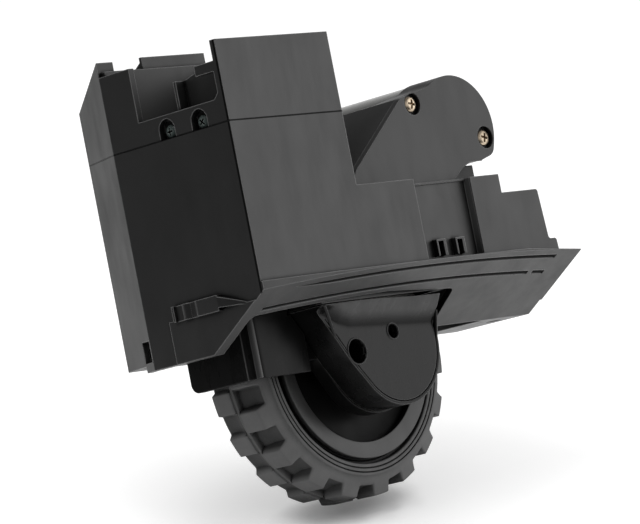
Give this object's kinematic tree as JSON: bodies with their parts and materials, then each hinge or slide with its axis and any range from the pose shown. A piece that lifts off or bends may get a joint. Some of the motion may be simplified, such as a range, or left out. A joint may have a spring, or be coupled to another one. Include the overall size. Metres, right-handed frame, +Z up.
{
  "type": "robot vacuum wheel module",
  "caption": "Drive wheel module of a robot vacuum: a stepped black housing whose sprung swing arm carries a geared motor and a treaded wheel.",
  "frame": {"origin": "middle of the two screw holes, on the upper face of the mounting flange at the right", "axes": "+X along the front towards the flange, +Y into the robot from the front panel, +Z up"},
  "size_m": [0.1202, 0.062, 0.1202],
  "materials": {
    "black_plastic": "fine matte moulded black plastic",
    "connector_plastic": "ivory nylon",
    "switch_plastic": "black moulded plastic",
    "white_gear": "satin acetal",
    "end_cap_plastic": "black moulded plastic",
    "hub_plastic": "matte black plastic",
    "ring_plastic": "satin dark grey plastic",
    "tyre_rubber": "matte rubber",
    "nickel_steel": "warm nickel plating",
    "dark_screw": "blackened steel",
    "steel": "ground steel",
    "motor_steel": "bright plated steel",
    "brass": "plain brass",
    "magnet": "dark sintered magnet",
    "iron_core": "laminated iron and copper winding",
    "circuit_board": "green solder resist"
  },
  "bodies": {
    "housing": {"lower_housing": "black_plastic", "upper_housing": "black_plastic", "housing_screws": "dark_screw", "wiring_connector": "connector_plastic", "connector_pins": "brass", "pivot_pin": "steel", "suspension_spring": "steel", "drop_switch_body": "switch_plastic", "switch_screws": "nickel_steel"},
    "switch_lever": {"switch_lever": "steel"},
    "swing_arm": {"gearbox_case": "black_plastic", "gearbox_cover": "black_plastic", "final_drive_cover": "black_plastic", "fender": "black_plastic", "fender_screws": "nickel_steel", "cover_screws": "nickel_steel", "drive_cover_screw": "nickel_steel", "pivot_bushes": "brass", "axle_bushes": "brass", "gear_pins": "steel", "motor_can": "motor_steel", "motor_end_cap": "end_cap_plastic", "motor_magnets": "magnet", "motor_screws": "nickel_steel", "encoder_board": "circuit_board"},
    "motor_rotor": {"motor_shaft": "steel", "motor_pinion": "brass", "motor_armature": "iron_core", "encoder_magnet": "magnet"},
    "first_gear": {"first_gear": "white_gear"},
    "second_gear": {"second_gear": "white_gear"},
    "third_gear": {"third_gear": "white_gear"},
    "drive_wheel": {"final_gear": "white_gear", "wheel_axle": "steel", "wheel_hub": "hub_plastic", "rim_ring": "ring_plastic", "tyre": "tyre_rubber", "wheel_screw": "nickel_steel"}
  },
  "joints": [
    {"name": "arm_swing", "type": "hinge", "parent": "housing", "child": "swing_arm", "pos_m": [-0.022, -0.011, 0.0263], "axis": [0, 1, 0], "range_deg": [0, 27], "stiffness_Nm_per_rad": 0.3, "springref_deg": -45.84, "deforming": ["suspension_spring"]},
    {"name": "lever_swing", "type": "hinge", "parent": "housing", "child": "switch_lever", "pos_m": [-0.0162, -0.0237, 0.0087], "axis": [0, -1, 0], "range_deg": [0, 8.01]},
    {"name": "wheel_spin", "type": "hinge", "parent": "swing_arm", "child": "drive_wheel", "pos_m": [-0.0561, -0.0014, -0.0059], "axis": [0, 1, 0], "continuous": true},
    {"name": "third_gear_spin", "type": "hinge", "parent": "swing_arm", "child": "third_gear", "pos_m": [-0.05417, -0.021, 0.01245], "axis": [0, 1, 0], "continuous": true},
    {"name": "second_gear_spin", "type": "hinge", "parent": "swing_arm", "child": "second_gear", "pos_m": [-0.04467, -0.023, 0.03005], "axis": [0, 1, 0], "continuous": true},
    {"name": "first_gear_spin", "type": "hinge", "parent": "swing_arm", "child": "first_gear", "pos_m": [-0.03211, -0.026, 0.0437], "axis": [0, 1, 0], "continuous": true},
    {"name": "motor_spin", "type": "hinge", "parent": "swing_arm", "child": "motor_rotor", "pos_m": [-0.0214, -0.009, 0.0476], "axis": [0, 1, 0], "continuous": true}
  ],
  "couplings": [
    {"joint": "lever_swing", "follows": "arm_swing", "ratio": 0.2963},
    {"joint": "third_gear_spin", "follows": "wheel_spin", "ratio": -1.9286},
    {"joint": "second_gear_spin", "follows": "wheel_spin", "ratio": 6.1071},
    {"joint": "first_gear_spin", "follows": "wheel_spin", "ratio": -20.866},
    {"joint": "motor_spin", "follows": "wheel_spin", "ratio": 58.425}
  ]
}
